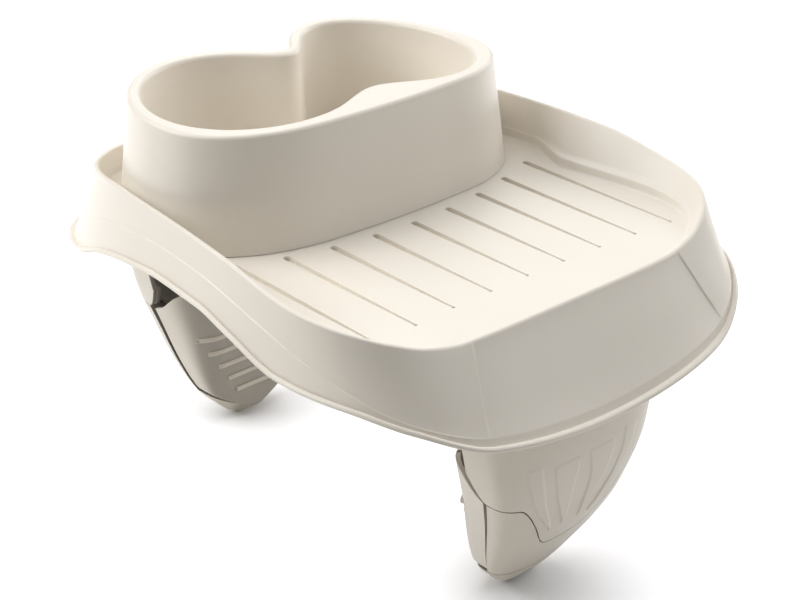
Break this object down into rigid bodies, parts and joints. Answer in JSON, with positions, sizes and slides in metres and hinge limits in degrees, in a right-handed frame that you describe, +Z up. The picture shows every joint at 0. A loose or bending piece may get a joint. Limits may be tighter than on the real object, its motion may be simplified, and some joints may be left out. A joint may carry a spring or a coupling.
{
  "type": "hot tub cup holder",
  "caption": "Clip-on tray for a tub wall, with a double cup well, a grooved drain floor open at the front, and two sprung clamp legs.",
  "frame": {"origin": "middle of the bounding box, on the ground that the two foot tips stand on", "axes": "+Z up; Y runs across the tub wall, with the open front edge of the tray at -Y and the cup well towards +Y; X runs along the tub wall"},
  "size_m": [0.2262, 0.294, 0.192],
  "materials": {
    "ivory_plastic": "satin ivory moulding",
    "steel": "plain"
  },
  "bodies": {
    "frame": {"tray": "ivory_plastic", "cup_well": "ivory_plastic", "well_screw_1": "steel", "well_screw_2": "steel", "well_screw_3": "steel", "well_screw_4": "steel", "leg_screw_1": "steel", "leg_screw_2": "steel", "leg_screw_3": "steel", "leg_screw_4": "steel", "front_leg_shell": "ivory_plastic", "front_leg_cover": "ivory_plastic", "front_foot_tip": "ivory_plastic", "front_jaw_pin": "steel", "front_jaw_spring": "steel", "rear_leg_shell": "ivory_plastic", "rear_leg_cover": "ivory_plastic", "rear_foot_tip": "ivory_plastic", "rear_jaw_pin": "steel", "rear_jaw_spring": "steel"},
    "front_jaw": {"front_grip_jaw": "ivory_plastic"},
    "rear_jaw": {"rear_grip_jaw": "ivory_plastic"}
  },
  "joints": [
    {"name": "front_jaw_hinge", "type": "hinge", "parent": "frame", "child": "front_jaw", "pos_m": [0, -0.0946, 0.02], "axis": [1, 0, 0], "range_deg": [0, 3], "stiffness_Nm_per_rad": 0.8, "springref_deg": -8.59, "deforming": ["front_jaw_spring"]},
    {"name": "rear_jaw_hinge", "type": "hinge", "parent": "frame", "child": "rear_jaw", "pos_m": [0, 0.097, 0.02], "axis": [-1, 0, 0], "range_deg": [0, 3], "stiffness_Nm_per_rad": 0.8, "springref_deg": -8.59, "deforming": ["rear_jaw_spring"]}
  ]
}
